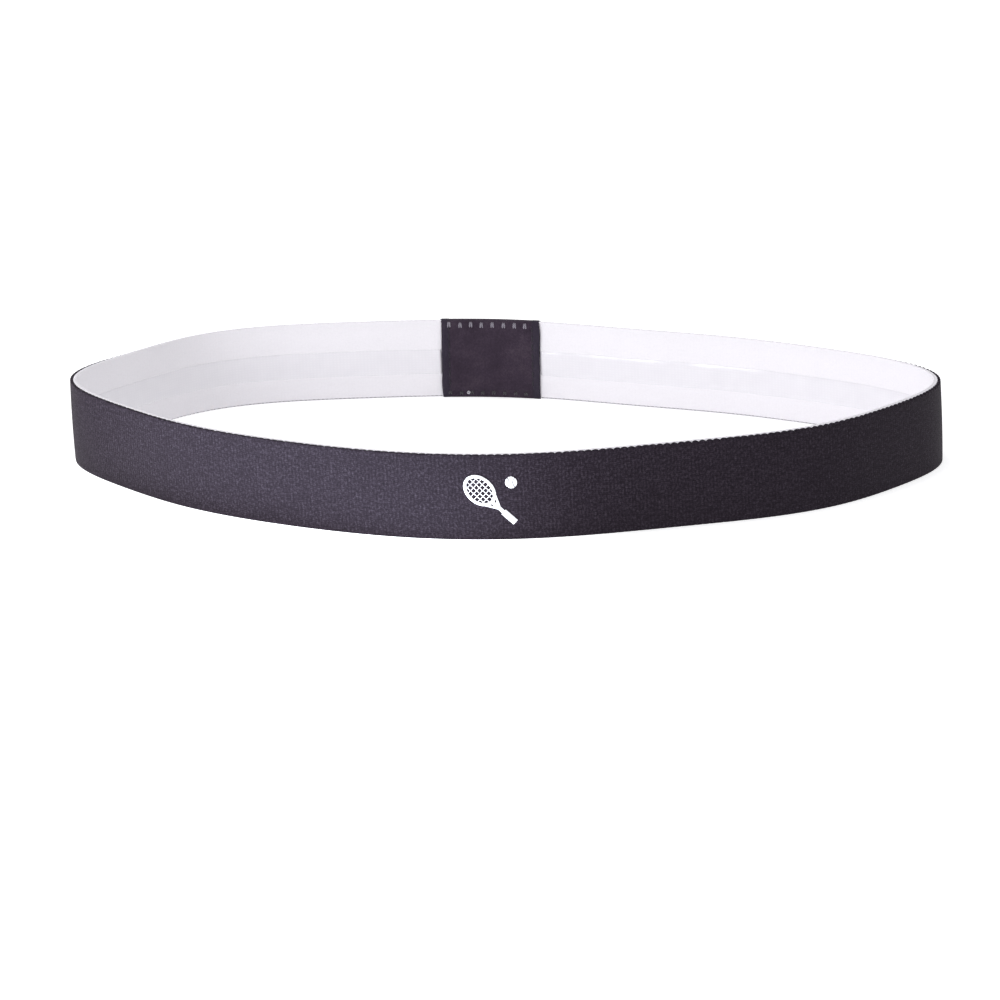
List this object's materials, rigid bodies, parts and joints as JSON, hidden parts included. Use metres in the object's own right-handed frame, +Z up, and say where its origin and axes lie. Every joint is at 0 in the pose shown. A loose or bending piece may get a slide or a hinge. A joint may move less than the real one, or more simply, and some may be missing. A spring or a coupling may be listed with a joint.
{
  "type": "sports headband",
  "caption": "Narrow elastic headband loop: ribbed dark webbing outside, white inside, clear silicone grip strip, stitched cover over the rear join, small racket-and-ball print in front.",
  "frame": {"origin": "on the surface that the band stands on, under the middle of the loop's outer box", "axes": "+Z up, across the band's width; +X along the loop's longer side; the front with the print faces -Y and the join cover is at +Y"},
  "size_m": [0.168, 0.113, 0.0168],
  "materials": {
    "face_fabric": "matte ribbed elastic webbing, black",
    "backing_fabric": "matte ribbed elastic webbing, white",
    "edge_yarn": "binding yarn in the band's edge, light grey",
    "elastic_rubber": "covered natural rubber cord",
    "grip_silicone": "clear glossy silicone",
    "cover_fabric": "dense matte tape, black",
    "stitch_thread": "polyester sewing thread, grey",
    "emblem_print": "white heat-transfer film"
  },
  "bodies": {
    "root": {"face_webbing": "face_fabric", "backing_webbing": "backing_fabric", "upper_selvedge": "edge_yarn", "lower_selvedge": "edge_yarn", "elastic_cord_1": "elastic_rubber", "elastic_cord_2": "elastic_rubber", "elastic_cord_3": "elastic_rubber", "elastic_cord_4": "elastic_rubber", "elastic_cord_5": "elastic_rubber", "elastic_cord_6": "elastic_rubber", "elastic_cord_7": "elastic_rubber", "elastic_cord_8": "elastic_rubber", "silicone_grip": "grip_silicone", "join_cover": "cover_fabric", "cover_seam_left": "stitch_thread", "cover_seam_right": "stitch_thread", "cover_edge_stitch_upper": "stitch_thread", "cover_edge_stitch_lower": "stitch_thread", "join_stitch": "stitch_thread", "emblem_racket": "emblem_print", "emblem_ball": "emblem_print"}
  },
  "joints": []
}
